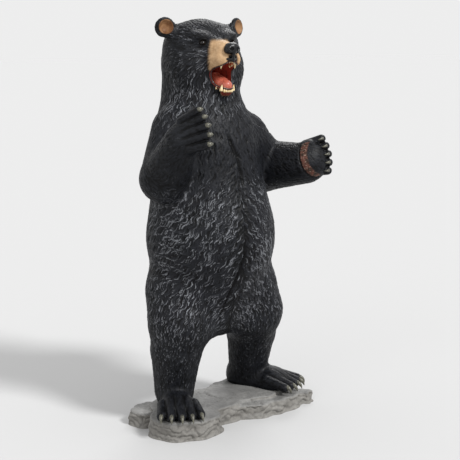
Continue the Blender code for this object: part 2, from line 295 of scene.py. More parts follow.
def blended(masses, points):
    """The distance from each point to the skin of the clay, in thousandths, below zero inside."""
    cell = 56
    found = np.full(len(points), FAR_AWAY)
    middles = np.array([mass.middle for mass in masses])
    reaches = np.array([mass.reach for mass in masses])
    for group in in_cells(points, cell):
        spots = points[group]
        middle = (spots.min(axis=0) + spots.max(axis=0)) / 2
        size = np.linalg.norm(spots.max(axis=0) - middle)
        here = np.full(len(group), FAR_AWAY)
        gaps = np.linalg.norm(middles - middle, axis=1) - reaches - size
        for number in np.flatnonzero(gaps < FARTHEST_BLEND):
            mass = masses[number]
            added = mass.distance(spots)
            if mass.hollow:
                here = -here
            mix = np.maximum(mass.blend - np.abs(here - added), 0) / max(mass.blend, 1e-6)
            here = np.minimum(here, added) - mix**2 * mass.blend / 4
            if mass.hollow:
                here = -here
        found[group] = here
    return found


def corners(obj, key="co"):
    """The place of every corner of a piece, or what else the key names."""
    values = np.empty(len(obj.data.vertices) * 3)
    obj.data.vertices.foreach_get(key, values)
    return values.reshape(-1, 3)


def move_corners(obj, places):
    obj.data.vertices.foreach_set("co", places.ravel())
    obj.data.update()


def onto_skin(masses, points, passes, deepest=99, farthest=12):
    """Moves each point straight onto the skin of the clay. What lies deep inside stays."""
    step = 0.4
    for _ in range(passes):
        depth = blended(masses, points)
        slopes = np.stack(
            [blended(masses, points + step * axis) - depth for axis in np.eye(3)], axis=1
        ) / step
        steep = np.maximum(np.sum(slopes**2, axis=1), 0.25)
        move = np.where(depth < -deepest, 0, np.clip(depth, -farthest, farthest)) / steep
        points = points - slopes * move[:, None]
    return points


def settle(obj, masses, passes, deepest=99):
    """Moves the corners of a piece onto the skin of its clay."""
    move_corners(obj, onto_skin(masses, corners(obj) / UNIT, passes, deepest) * UNIT)


def object_from(shape, name):
    """A piece in the scene from what was built in a bmesh."""
    mesh = bpy.data.meshes.new(name)
    shape.to_mesh(mesh)
    shape.free()
    return object_of(mesh, name)


def copied(piece):
    twin = piece.copy()
    twin.data = piece.data.copy()
    bpy.context.scene.collection.objects.link(twin)
    return twin


def clay_object(masses, name):
    shape = bmesh.new()
    for mass in masses:
        mass.add_to(shape)
    bmesh.ops.scale(shape, vec=(UNIT, UNIT, UNIT), verts=shape.verts)
    return object_from(shape, name)


def evaluated_mesh(obj):
    """The mesh of a piece with its modifiers or its thickness applied."""
    bpy.context.view_layer.update()
    graph = bpy.context.evaluated_depsgraph_get()
    return bpy.data.meshes.new_from_object(obj.evaluated_get(graph))


def apply_modifiers(obj):
    mesh = evaluated_mesh(obj)
    obj.modifiers.clear()
    obj.data = mesh


def remesh(obj, grain):
    """Makes one even skin of all the masses of a piece."""
    modifier = obj.modifiers.new("grain", "REMESH")
    modifier.mode = "VOXEL"
    modifier.voxel_size = grain
    apply_modifiers(obj)


def cut_away(obj, point, outward):
    """Cuts off what lies beyond a plane and closes the cut with a flat face."""
    shape = bmesh.new()
    shape.from_mesh(obj.data)
    bmesh.ops.bisect_plane(
        shape,
        geom=shape.verts[:] + shape.edges[:] + shape.faces[:],
        plane_co=point,
        plane_no=outward,
        clear_outer=True,
    )
    rims = [edge for edge in shape.edges if edge.is_boundary]
    caps = bmesh.ops.holes_fill(shape, edges=rims)["faces"]
    for cap in caps:
        cap.smooth = False
    for edge in rims:
        edge.smooth = False
    shape.to_mesh(obj.data)
    shape.free()


body_clay = clay_object(flesh, "body_clay")
mouth_cutter = clay_object(mouth_hollow()[:1], "mouth_cutter")
remesh(body_clay, ROUGH_GRAIN)
cut = body_clay.modifiers.new("mouth", "BOOLEAN")
cut.object, cut.operation, cut.solver = mouth_cutter, "DIFFERENCE", "EXACT"
apply_modifiers(body_clay)
bpy.data.objects.remove(mouth_cutter)
settle(body_clay, clay, 3)
remesh(body_clay, MIDDLE_GRAIN)
settle(body_clay, clay, 2)

NECK_LEVEL = 792
head_clay = copied(body_clay)
cut_away(head_clay, (0, 0, (NECK_LEVEL - 24) * UNIT), (0, 0, -1))
for piece, grain in ((body_clay, BODY_GRAIN), (head_clay, HEAD_GRAIN)):
    remesh(piece, grain)
    settle(piece, clay, 2, deepest=7)


# The coat is carved into the clay in locks, long and wavy on the chest and belly, short on the
# head, arms and shins, and hardly any on the paws. They lie over one another like shingles and
# point the way that a bear's hair grows.
ROOT_SPACINGS = (3.9, 6.9)
LOCK_LENGTHS, LOCK_WIDTHS, LOCK_SWAYS = (9, 32), (2.2, 3.5), (0.3, 3.0)
WAVE_LENGTH = 27
COMB_CELL = 20.0
CARVING_DEPTHS = (2.5, 5.8)
LEAST_RELIEF = 0.3
PALM_GROOVE, DIGIT_CREASE = 3.2, 2.6
ROOT_SEED, COMB_SEED = 7, 11


def fade(values, start, end):
    """Goes smoothly from 0 at the start to 1 at the end."""
    share = np.clip((values - start) / (end - start), 0, 1)
    return share * share * (3 - 2 * share)


def mixed(low, high, share):
    return low + (high - low) * share


def flat_to(normals, ways):
    """The ways turned into the surface and made one long."""
    ways = ways - normals * np.sum(ways * normals, axis=1)[:, None]
    return ways / np.maximum(np.linalg.norm(ways, axis=1), 1e-6)[:, None]


BORDER = 6
GROUPS = {"torso": torso(), "head": head(), **limb_masses}


def part_shares(points):
    """How much each point belongs to each part of the body. The shares add up to one."""
    gaps = {name: np.clip(blended(masses, points), -200, 200) for name, masses in GROUPS.items()}
    nearest = np.min(list(gaps.values()), axis=0)
    shares = {name: np.exp((nearest - gap) / BORDER) for name, gap in gaps.items()}
    total = sum(shares.values())
    return {name: share / total for name, share in shares.items()}


def coarseness(points, shares):
    """How long the hair is: 1 for the long locks of the belly, 0 for the velvet of the paws."""
    x, y, z = points.T
    front = 1 - fade(y, 30, 95)
    beard = 1 - fade(z + 0.25 * y, 790, 870)
    hair = shares["torso"] * mixed(0.34, 1.0, front) * mixed(0.7, 1.0, fade(z, 300, 400))
    hair += shares["head"] * mixed(mixed(0.3, 0.14, fade(z, 900, 960)), 0.68, beard)
    for side in ("left", "right"):
        hair += shares[side + "_arm"] * (0.17 + 0.6 * fade(z, 650, 730) * front)
        hair += shares[side + "_leg"] * (0.18 + 0.5 * fade(z, 150, 280) * mixed(0.3, 1, front))
        hair += shares[side + "_foot"] * 0.05 + shares[side + "_hand"] * 0.04
    return hair


def hair_way(points, normals, shares):
    """The way that the hair lies at each point."""
    x, y, z = points.T
    none = 0 * x
    aside = np.tanh(x / 6)
    middle = np.exp(-np.abs(x) / 70)
    belly = 1 - fade(z, 540, 700)
    flank = fade(-x, 95, 150) * (1 - fade(y, 60, 110))
    sideways = aside * mixed(0.25, 0.95, middle) * belly - 0.5 * flank * belly
    ways = np.stack([sideways, 0.5 * flank * belly, -0.75 + 0.35 * flank * belly], axis=1)
    ways *= shares["torso"][:, None]
    from_nose = points - (0, -120, 915)
    from_nose /= np.linalg.norm(from_nose, axis=1)[:, None]
    beard = (1 - fade(z + 0.3 * y, 820, 900))[:, None]
    hanging = np.stack([0.25 * aside, none, none - 1], axis=1)
    ways += mixed(from_nose, hanging, beard) * shares["head"][:, None]
    for side, sign in (("left", 1), ("right", -1)):
        upper, fore = arm(sign)
        lines = (bone.end - bone.start for bone in (upper, fore))
        upper_way, fore_way = (line / np.linalg.norm(line) for line in lines)
        along = fade(upper.distance(points) - fore.distance(points), -12, 12)[:, None]
        droop = np.array([0, 0, -0.45])
        ways += (mixed(upper_way, fore_way, along) + droop) * shares[side + "_arm"][:, None]
        ways += hand(sign).ahead * shares[side + "_hand"][:, None]
        ways += (foot(sign)[1].ahead + (0, 0, 0.25)) * shares[side + "_foot"][:, None]
        thigh_way = np.stack([0.45 * sign * fade(z, 180, 280), none + 0.15, none - 1], axis=1)
        ways += thigh_way * shares[side + "_leg"][:, None]
    return flat_to(normals, ways)


def chosen_roots(points, hair, rng):
    """Picks where the locks grow: one in each small cell, with smaller cells for shorter hair."""
    order = rng.permutation(len(points))
    picked = []
    edges = (-0.1, 0.09, 0.2, 0.35, 0.55, 0.8, 1.1)
    for low, high in zip(edges, edges[1:]):
        inside = order[(hair[order] >= low) & (hair[order] < high)]
        if not len(inside):
            continue
        cell = mixed(*ROOT_SPACINGS, np.clip((low + high) / 2, 0, 1))
        keys = np.floor(points[inside] / cell).astype(np.int64)
        keys = (keys[:, 0] * 4001 + keys[:, 1]) * 4001 + keys[:, 2]
        picked.append(inside[np.unique(keys, return_index=True)[1]])
    return np.concatenate(picked)


def along_axes(points, roots, axes):
    """How far each point lies from each root along the root's axis: one row for each point."""
    return points @ axes.T - np.sum(roots * axes, axis=1)


def comb(points, normals, roots, root_normals, ways, hair, rng):
    """Lays every lock over the clay. Returns the height of the relief, from 0 to 1, and how
    far each point stands out on the ridge of its own lock."""
    count = len(roots)
    sides = np.cross(root_normals, ways)
    ways = flat_to(root_normals, ways + sides * rng.normal(0, 0.09, count)[:, None])
    sides = np.cross(root_normals, ways)
    lengths = mixed(*LOCK_LENGTHS, hair) * rng.uniform(0.75, 1.2, count)
    widths = mixed(*LOCK_WIDTHS, hair) * rng.uniform(0.8, 1.25, count)
    sways = mixed(*LOCK_SWAYS, hair) * rng.uniform(0.5, 1.3, count)
    x, y, z = roots.T
    waves = 2 * math.pi / WAVE_LENGTH
    phases = waves * (0.35 * np.abs(x) - z) + 0.8 * np.sin(x / 19 + z / 41)
    phases = phases + rng.normal(0, 0.5, count)
    bases = rng.uniform(0, 0.45, count)
    shines = rng.uniform(0.35, 1.0, count)
    relief, ridge = np.zeros(len(points)), np.zeros(len(points))
    middles = roots + ways * lengths[:, None] * 0.45
    home = np.floor(middles / COMB_CELL).astype(np.int64)
    members = {}
    for group in in_cells(points, COMB_CELL):
        members[tuple(np.floor(points[group[0]] / COMB_CELL).astype(np.int64))] = group
    for group in in_cells(middles, COMB_CELL):
        x, y, z = home[group[0]]
        cells = [(x + i, y + j, z + k) for i in (-1, 0, 1) for j in (-1, 0, 1) for k in (-1, 0, 1)]
        around = [members[key] for key in cells if key in members]
        if not around:
            continue
        near = np.concatenate(around)
        spots = points[near]
        along = along_axes(spots, roots[group], ways[group]) / lengths[group]
        above = along_axes(spots, roots[group], root_normals[group])
        across = along_axes(spots, roots[group], sides[group])
        across = across - sways[group] * np.sin(along * lengths[group] * waves + phases[group])
        share = np.clip(along, 0.001, 0.999)
        half = widths[group] * 1.3 * (share + 0.03) ** 0.3 * (1 - share) ** 0.45
        round_ = 1 - (across / half) ** 2
        good = (round_ > 0) & (along > 0) & (along < 1) & (np.abs(above) < 0.4 * lengths[group])
        good &= normals[near] @ root_normals[group].T > 0.35
        round_ = np.sqrt(np.where(good, round_, 0))
        strands = 1 - 0.18 * (0.5 + 0.5 * np.cos(across / widths[group] * 4.6))
        height = np.where(good, bases[group] + 0.55 * round_ * (0.4 + 0.6 * share) * strands, 0)
        best = height.argmax(axis=1)
        rows = np.arange(len(near))
        top = height[rows, best]
        higher = top > relief[near]
        shine = (round_ * strands) ** 5 * (0.4 + 0.6 * share) * shines[group]
        relief[near[higher]] = top[higher]
        ridge[near[higher]] = shine[rows, best][higher]
    return relief, ridge


# The folds between the big masses of the body: how wide, how deep and where each one runs. At
# a lapped one the coat on one side lies over the other side.
SHARP_SIDE = 2.2
FOLDS = {
    "breast": [5.5, 6, 0, (-12, -89, 723), (-5, -102, 688), (9, -110, 656), (16, -117, 608)]
    + [(17, -125, 560)],
    "parting": [4, 1.8, 0, (17, -125, 575), (14, -129, 547), (7, -136, 513), (2, -143, 481)]
    + [(-2, -145, 420)],
    "groin": [6, 7, 1, (2, -145, 455), (-3, -144, 408), (-10, -137, 375), (-18, -126, 337)]
    + [(-27, -115, 303), (-41, -89, 214)],
    "right_thigh": [8, 1.8, 1, (-160, -28, 402), (-115, -86, 348), (-98, -96, 324)]
    + [(-82, -99, 284), (-86, -103, 235)],
    "right_flank": [7, 1.8, 1, (-150, -26, 570), (-154, -24, 530), (-159, -25, 486)]
    + [(-163, -28, 420)],
    "left_mantle": [12, 3, 1, (96, -52, 742), (150, -44, 716), (176, -18, 690), (186, 20, 684)],
}


def fold_depth(points, normals):
    """How deep the folds are at each point. Each is laid on the skin and fades at its ends."""
    found = np.zeros(len(points))
    for width, deepest, lap, *path in FOLDS.values():
        path = np.array(path, float)
        places = np.linspace(0, 1, 8 * len(path))
        bends = np.linspace(0, 1, len(path))
        path = np.stack([np.interp(places, bends, axis) for axis in path.T], axis=1)
        path = onto_skin(flesh, path, 4)
        low, high = path.min(axis=0) - 30, path.max(axis=0) + 30
        near = np.flatnonzero(((points > low) & (points < high)).all(axis=1))
        side, strength = np.zeros(len(near)), np.zeros(len(near))
        gap = np.full(len(near), FAR_AWAY)
        for place, spot, after in zip(places, path, path[1:]):
            offset = points[near] - spot
            here = np.linalg.norm(offset, axis=1)
            closer = here < gap
            gap[closer] = here[closer]
            strength[closer] = deepest * min(1, 6 * place, 6 * (1 - place))
            aside = np.cross(normals[near[closer]], (after - spot) / np.linalg.norm(after - spot))
            side[closer] = np.sum(offset[closer] * aside, axis=1)
        edge = np.where(side * lap < 0, SHARP_SIDE, width) if lap else width
        found[near] = np.maximum(found[near], strength * np.exp(-((gap / edge) ** 2)))
    return found


def add_attribute(obj, name, values):
    layer = obj.data.attributes.new(name, "FLOAT", "POINT")
    layer.data.foreach_set("value", np.ascontiguousarray(values, dtype=np.float32))


def groom(obj, roots, root_normals, ways, hair):
    """Cuts the combed locks and the folds into the clay and notes what the painter needs."""
    points, normals = corners(obj) / UNIT, corners(obj, "normal")
    shares = part_shares(points)
    length = coarseness(points, shares)
    rng = np.random.default_rng(COMB_SEED)
    relief, ridge = comb(points, normals, roots, root_normals, ways, hair, rng)
    relief = np.maximum(relief, LEAST_RELIEF)
    x, y, z = points.T
    scoop_gap = np.min([mass.distance(points) for mass in mouth_hollow()], axis=0)
    in_mouth = fade(-scoop_gap, -3, -1) * (blended(flesh, points) < -0.7)
    on_head = fade(shares["head"], 0.4, 0.6)
    ahead = -y - 1.43 * np.abs(x) + 9 * (relief - 0.6) - 0.006 * (z - 895) ** 2
    tan = fade(ahead, -16, 2) * fade(-y, 24, 38) * fade(z, 850, 858)
    tan *= 1 - fade(z + 0.3 * y, 919, 935)
    tan *= 1 - fade(-y, 80, 87) * (1 - fade(z, 902, 908)) * (1 - fade(np.abs(x - 5), 11, 17))
    jaw = fade(ahead, -4, 8) * fade(z, 800, 806) * (1 - fade(z, 824, 834)) * on_head
    lip = jaw * fade(-y, 66, 74) * (1 - in_mouth)
    tan = np.maximum(tan, jaw * (1 - lip)) * on_head
    tan *= fade(nose_pad().distance(points), 1.5, 3)
    cup = np.zeros(len(points))
    for mass in small_hollows()[:2]:
        facing = normals @ mass.frame[:, 1] < 0.1
        cup = np.maximum(cup, fade(-mass.distance(points), -2.6, -0.6) * facing)
    socket = np.zeros(len(points))
    for mass in small_hollows()[2:]:
        socket = np.maximum(socket, fade(-mass.distance(points), -4.5, -1))
    bare = np.maximum.reduce([in_mouth, 0.85 * tan, cup, socket])
    paws = sum(shares[f"{side}_{limb}"] for side in ("left", "right") for limb in ("hand", "foot"))
    depth = mixed(*CARVING_DEPTHS, length) * (1 - 0.9 * bare) * (1 - 0.7 * paws)
    folds = fold_depth(points, normals)
    left = hand(1)
    palm = (points - left.middle) @ -left.back
    reach = (points - left.middle) @ left.ahead
    aside = (points - left.middle) @ left.across
    disc = np.hypot((reach - 4) / 38, aside / 54)
    groove = PALM_GROOVE * np.exp(-(((disc - 1.04) / 0.05) ** 2)) * fade(palm, 10, 18)
    folds += groove * (reach < 8) * (palm < 90)
    creases = np.zeros(len(points))
    for paw in (hand(1), hand(-1), foot(1)[1], foot(-1)[1]):
        near = np.flatnonzero(np.linalg.norm(points - paw.middle, axis=1) < 90)
        gaps = np.sort([digit.distance(points[near]) for digit in paw.masses[1:]], axis=0)
        between = (1 - fade(gaps[1] - gaps[0], 0, 5)) * (1 - fade(gaps[0], 4, 9))
        creases[near] = between * fade((points[near] - paw.middle) @ paw.ahead, -16, 2)
    sunk = depth * (1 - relief) + folds + DIGIT_CREASE * creases
    places = (points - normals * sunk[:, None]) * UNIT
    move_corners(obj, places)
    # Where the grey goes: thinner on short hair and the paws, none on bare places, and weaker as
    # painted shade in the folds, on the back and across the chest under the arms.
    drybrush_and_painted_light = mixed(0.84, 1.0, fade(length, 0.15, 0.7)) * (1 - 0.75 * fade(folds, 1, 4))
    drybrush_and_painted_light *= (1 - 0.5 * fade(y, 20, 80)) * (1 - 0.5 * paws) * (1 - bare)
    drybrush_and_painted_light *= 1 - 0.4 * fade(z, 545, 630) * (1 - fade(z, 715, 780)) * (1 - 0.4 * fade(-x, 60, 110))
    toes = np.hypot((reach - 22) / 36, aside / 50)
    pad = fade(palm, 14, 20) * (1 - fade(disc, 0.93, 1.0)) * fade(toes, 0.95, 1.05)
    notes = {
        "ridge": ridge,
        # Painted shade: the relief note, lowered in the folds and the creases between the digits,
        # sets how deep a black the gaps are painted.
        "relief": np.clip(relief - 0.4 * fade(folds, 1.5, 5) - 0.5 * creases, 0, 1),
        "drybrush_and_painted_light": drybrush_and_painted_light,
        "tan": tan * (1 - in_mouth),
        "cup": cup,
        "socket": socket,
        "mouth": in_mouth,
        "pad": pad * (palm < 90),
        "lip": lip,
    }
    for name, values in notes.items():
        add_attribute(obj, name, values)


all_points, all_normals = corners(body_clay) / UNIT, corners(body_clay, "normal")
draw = np.random.default_rng(ROOT_SEED)
body_shares = part_shares(all_points)
hair_length = coarseness(all_points, body_shares)
picked = chosen_roots(all_points, hair_length, draw)
root_shares = {name: share[picked] for name, share in body_shares.items()}
lock_roots, lock_normals = all_points[picked], all_normals[picked]
lock_ways = hair_way(lock_roots, lock_normals, root_shares)
for piece in (body_clay, head_clay):
    groom(piece, lock_roots, lock_normals, lock_ways, hair_length[picked])


# The painter gave the coat a charcoal black, then dragged a nearly dry brush of cool grey over the
# tops of the locks; that grey is also a painted highlight, a sheen on the crests. Painted shade is
# laid in too: a deeper black in the gaps between the locks, in the folds and in the creases of the
# digits, and less grey on the back, in the folds and across the chest under the arms. The muzzle
# is tan, the cups of the ears orange brown.
class Paint:
    """A paint mixed from nodes, with tones that follow the place on the piece."""

    def __init__(self, name, colour=(0, 0, 0), roughness=0.5, specular=0.5):
        self.material = bpy.data.materials.new(name)
        self.material.use_nodes = True
        self.nodes = self.material.node_tree.nodes
        self.links = self.material.node_tree.links
        self.shader = self.nodes["Principled BSDF"]
        self.give("Base Color", colour)
        self.give("Roughness", roughness)
        self.give("Specular IOR Level", specular)

    def feed(self, socket, value):
        """Puts a number, a colour or what another node works out on a socket."""
        if isinstance(value, bpy.types.NodeSocket):
            self.links.new(value, socket)
        elif isinstance(value, tuple):
            socket.default_value = (*value, 1)
        else:
            socket.default_value = value

    def give(self, key, value):
        self.feed(self.shader.inputs[key], value)

    def attribute(self, name):
        node = self.nodes.new("ShaderNodeAttribute")
        node.attribute_name = name
        return node.outputs["Fac"]

    def noise(self, scale, detail=4, roughness=0.6):
        place = self.nodes.new("ShaderNodeTexCoord")
        node = self.nodes.new("ShaderNodeTexNoise")
        for key, value in (("Scale", scale), ("Detail", detail), ("Roughness", roughness)):
            node.inputs[key].default_value = value
        self.links.new(place.outputs["Object"], node.inputs["Vector"])
        return node.outputs["Fac"]

    def spread(self, value, low, high, start=0.0, end=1.0):
        """Turns the range from low to high into that from start to end."""
        node = self.nodes.new("ShaderNodeMapRange")
        ends = {"Value": value, "From Min": low, "From Max": high, "To Min": start, "To Max": end}
        for key, part in ends.items():
            self.feed(node.inputs[key], part)
        return node.outputs["Result"]

    def times(self, first, second):
        node = self.nodes.new("ShaderNodeMath")
        node.operation = "MULTIPLY"
        self.feed(node.inputs[0], first)
        self.feed(node.inputs[1], second)
        return node.outputs[0]

    def blend(self, share, first, second):
        """Goes from the first colour to the second as the share goes from 0 to 1."""
        node = self.nodes.new("ShaderNodeMix")
        node.data_type = "RGBA"
        for number, value in ((0, share), (6, first), (7, second)):
            self.feed(node.inputs[number], value)
        return node.outputs[2]

    def mottle(self, pattern, low, high, first, second):
        """Lays the second colour over the first where the pattern is high."""
        return self.blend(self.spread(pattern, low, high), first, second)

    def roughen(self, height, distance):
        node = self.nodes.new("ShaderNodeBump")
        node.inputs["Distance"].default_value = distance
        self.links.new(height, node.inputs["Height"])
        self.links.new(node.outputs["Normal"], self.shader.inputs["Normal"])


PAINTED_SHADE_BLACK, CHARCOAL = (0.0012, 0.0013, 0.0016), (0.015, 0.0165, 0.021)
GREY_DRYBRUSH_AND_HIGHLIGHT = (0.44, 0.455, 0.49)
TAN, DARK_TAN = (0.47, 0.315, 0.18), (0.32, 0.195, 0.10)
EAR_TAN, EAR_BROWN = (0.29, 0.16, 0.078), (0.11, 0.046, 0.017)
PALM_RED, PALM_BROWN, PALM_WORN = (0.085, 0.032, 0.022), (0.024, 0.015, 0.010), (0.20, 0.14, 0.11)
LIP_RED, SOCKET_BLACK, MOUTH_RED = (0.12, 0.02, 0.012), (0.004, 0.004, 0.004), (0.26, 0.032, 0.02)

coat = Paint("painted_coat", specular=0.15)
speckle = coat.noise(330, 3, 0.7)
# Painted shade: the gaps between the locks, the folds and the creases of the digits get a deeper
# black than the tops of the locks.
black = coat.mottle(coat.attribute("relief"), 0.42, 1.0, PAINTED_SHADE_BLACK, CHARCOAL)
# The grey on the tops of the locks is dry-brushed paint and a painted highlight, a sheen on the
# crests.
drybrush_and_highlight = coat.times(coat.attribute("ridge"), coat.attribute("drybrush_and_painted_light"))
drybrush_and_highlight = coat.times(drybrush_and_highlight, coat.spread(speckle, 0.25, 0.5, 0.6, 1.1))
drybrush_and_highlight = coat.times(drybrush_and_highlight, coat.spread(coat.noise(7, 3), 0.3, 0.65, 0.8, 1.1))
colour = coat.mottle(drybrush_and_highlight, 0.18, 0.56, black, GREY_DRYBRUSH_AND_HIGHLIGHT)
palm = coat.mottle(coat.noise(55, 2), 0.42, 0.58, PALM_RED, PALM_BROWN)
layers = {
    "tan": coat.mottle(coat.noise(60), 0.35, 0.7, TAN, DARK_TAN),
    "cup": coat.mottle(coat.noise(22, 3), 0.38, 0.62, EAR_TAN, EAR_BROWN),
    "pad": coat.mottle(coat.noise(130, 2), 0.58, 0.68, palm, PALM_WORN),
    "lip": LIP_RED,
    "socket": SOCKET_BLACK,
    "mouth": MOUTH_RED,
}
for place, layer in layers.items():
    colour = coat.blend(coat.attribute(place), colour, layer)
coat.give("Base Color", colour)
coat.give("Roughness", coat.spread(coat.noise(35, 3), 0.3, 0.7, 0.40, 0.56))
coat.roughen(speckle, 0.0006)


# The casting is shown in shells, cut at the neck, beside the chest, under the elbows, at the
# waist of the thighs and above the knees. The cuts are closed with flat faces inside the bear.
UP, DOWN, LEFT, RIGHT = (0, 0, 1), (0, 0, -1), (1, 0, 0), (-1, 0, 0)
ELBOW_LEVEL, HIP_LEVEL, KNEE_LEVEL = 520, 350, 170
LEFT_OF_CHEST, RIGHT_OF_CHEST, BETWEEN_SHINS = 140, -118, 10
NECK_LAP = 1


def take_off(source, point, outward):
    """Cuts the source along a plane and returns what lies beyond it as a closed piece."""
    beyond = copied(source)
    point = tuple(c * UNIT for c in point)
    cut_away(beyond, point, tuple(-c for c in outward))
    cut_away(source, point, outward)
    return beyond


def smooth(piece):
    for face in piece.data.polygons:
        face.use_smooth = True


def lift(piece):
    """Puts a piece that was modelled from the bear's soles on top of the rock."""
    places = corners(piece)
    places[:, 2] += SOLE_LEVEL
    move_corners(piece, places)


def hand_over(piece, paint, node="bear"):
    """Paints a finished piece and lays it over the plain solid of its node."""
    piece.data.materials.clear()
    piece.data.materials.append(paint.material)
    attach(piece, "root")
    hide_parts(node)


def shell(piece, name):
    piece.name = name
    lift(piece)
    hand_over(piece, coat)


for source in (body_clay, head_clay):
    smooth(source)
cut_away(head_clay, (0, 0, (NECK_LEVEL - NECK_LAP) * UNIT), DOWN)
cut_away(body_clay, (0, 0, NECK_LEVEL * UNIT), UP)
cut_away(body_clay, (0, 0, 0), DOWN)
chest = take_off(body_clay, (0, 0, ELBOW_LEVEL), UP)
shell(head_clay, "coat_head")
shell(take_off(chest, (LEFT_OF_CHEST, 0, 0), LEFT), "coat_left_arm")
shell(take_off(chest, (RIGHT_OF_CHEST, 0, 0), RIGHT), "coat_right_arm")
shell(chest, "coat_chest")
shell(take_off(body_clay, (0, 0, HIP_LEVEL), UP), "coat_belly")
shell(take_off(body_clay, (0, 0, KNEE_LEVEL), UP), "coat_hips")
shell(take_off(body_clay, (BETWEEN_SHINS, 0, 0), LEFT), "coat_left_leg")
shell(body_clay, "coat_right_leg")


# The claws are cast with the paws and painted olive grey in pale streaks. Each is a curved
# horn, flat at the sides, set in the end of its digit.
def grow_horn(shape, root, ahead, up, length, radius, bend=0, steps=6, sides=10, flat=1.0):
    """A claw or a tooth: a round face drawn out in steps, each turned down and made narrower."""
    bluntness, taper = 0.10, 1.6
    ahead, up = Vector(ahead).normalized(), Vector(up)
    side = ahead.cross(up).normalized()
    place = ahead.to_track_quat("Z", "Y").to_matrix().to_4x4()
    place.translation = root
    ring = bmesh.ops.create_circle(
        shape, cap_ends=True, segments=sides, radius=radius, matrix=place
    )
    face = ring["verts"][0].link_faces[0]
    for corner in face.verts:
        spoke = corner.co - Vector(root)
        corner.co -= side * spoke.dot(side) * (1 - flat)
    spokes = [(corner.co - Vector(root)) / radius for corner in face.verts]
    centre = Vector(root)
    for step in range(steps):
        narrower = radius * (1 - (1 - bluntness) * ((step + 1) / steps) ** taper)
        turn = Matrix.Rotation(-bend / steps, 3, side)
        ahead.rotate(turn)
        centre += ahead * (length / steps)
        face = bmesh.ops.extrude_discrete_faces(shape, faces=[face])["faces"][0]
        for spoke, corner in zip(spokes, face.verts):
            spoke.rotate(turn)
            corner.co = centre + spoke * narrower


def set_on_bear(shape, name, paint):
    """Closes, places and paints what was built in thousandths from the bear's soles."""
    bmesh.ops.holes_fill(shape, edges=[edge for edge in shape.edges if edge.is_boundary])
    bmesh.ops.remove_doubles(shape, verts=shape.verts, dist=1e-5)
    bmesh.ops.recalc_face_normals(shape, faces=shape.faces)
    bmesh.ops.scale(shape, vec=(UNIT, UNIT, UNIT), verts=shape.verts)
    bmesh.ops.translate(shape, vec=(0, 0, SOLE_LEVEL), verts=shape.verts)
    piece = object_from(shape, name)
    smooth(piece)
    hand_over(piece, paint)


claw_paint = Paint("claw_paint", roughness=0.34)
streaks = claw_paint.noise(150)
olive = claw_paint.mottle(streaks, 0.35, 0.65, (0.020, 0.020, 0.016), (0.125, 0.12, 0.088))
claw_paint.give("Base Color", olive)
claw_paint.roughen(streaks, 0.0008)

for side, word in ((1, "left"), (-1, "right")):
    claws = bmesh.new()
    for root, fan in foot(side)[1].claws:
        grow_horn(claws, root, fan, UP, 23, 6.6, math.radians(78), flat=0.85)
    set_on_bear(claws, f"claws_{word}_foot", claw_paint)
    claws = bmesh.new()
    paw = hand(side)
    for root, fan in paw.claws:
        if side > 0:
            sunk_root = root - paw.back * 8 - fan * 4
            grow_horn(claws, sunk_root, fan * 0.25 - paw.back, fan, 21, 4.6, 1.9)
        else:
            grow_horn(claws, root, fan - paw.back * 0.25, paw.back, 15, 6.6, 1.7)
    set_on_bear(claws, f"claws_{word}_hand", claw_paint)


# The teeth stand in the jaws in two rows: curved fangs at the corners of the muzzle, small
# front teeth between them and blunt cheek teeth behind, all painted ivory.
AHEAD, BACK = (0, -1, 0), (0, 1, 0)
HANGING, STANDING = (0, -0.1, -1), (0, -0.1, 1)
tooth_paint = Paint("tooth_paint", roughness=0.22)
yellowing = tooth_paint.noise(120, 3)
ivory = tooth_paint.mottle(yellowing, 0.35, 0.7, (0.84, 0.73, 0.48), (0.58, 0.38, 0.13))
tooth_paint.give("Base Color", ivory)
teeth = bmesh.new()
for side in (1, -1):
    grow_horn(teeth, (side * 21, -78, 889), (0, -0.12, -1), AHEAD, 19, 5.2, 0.3)
    grow_horn(teeth, (side * 18, -74, 816), STANDING, BACK, 16, 4.8, 0.3)
    for place in (1, 2, 3):
        across = side * (place * 4.6 - 2.3)
        grow_horn(teeth, (across, -88 + place * 1.4, 896), HANGING, AHEAD, 12, 2.5, steps=3)
        grow_horn(teeth, (across, -81 + place, 813), STANDING, BACK, 14, 3.2, steps=3)
    for place in (0, 1, 2):
        row = -60 + place * 11
        grow_horn(teeth, (side * (25 + place), row, 884 - place * 3), DOWN, RIGHT, 10, 3.4)
        grow_horn(teeth, (side * (21 + place * 2), row + 2, 820 + place * 4), UP, RIGHT, 10, 3.2)
set_on_bear(teeth, "teeth", tooth_paint)


# The gums are low ridges of clay along the jaws, in which the teeth are set. The lips are a
# rolled edge around the open mouth. Both are pressed on by hand and painted: the gums orange
# red, the lips nearly black.
def rope(name, path, radius, paint, closed=False):
    """A round roll of clay along a path in thousandths."""
    curve = bpy.data.curves.new(name, "CURVE")
    curve.dimensions = "3D"
    curve.bevel_depth, curve.bevel_resolution, curve.use_fill_caps = 1, 4, not closed
    spline = curve.splines.new("POLY")
    spline.points.add(len(path) - 1)
    for corner, place in zip(spline.points, path):
        corner.co = (*(np.array(place, float) * UNIT + (0, 0, SOLE_LEVEL)), 1)
        corner.radius = radius * UNIT
    spline.use_cyclic_u = closed
    roll = object_of(curve, name)
    mesh = evaluated_mesh(roll)
    bpy.data.objects.remove(roll)
    piece = object_of(mesh, name)
    smooth(piece)
    hand_over(piece, paint)


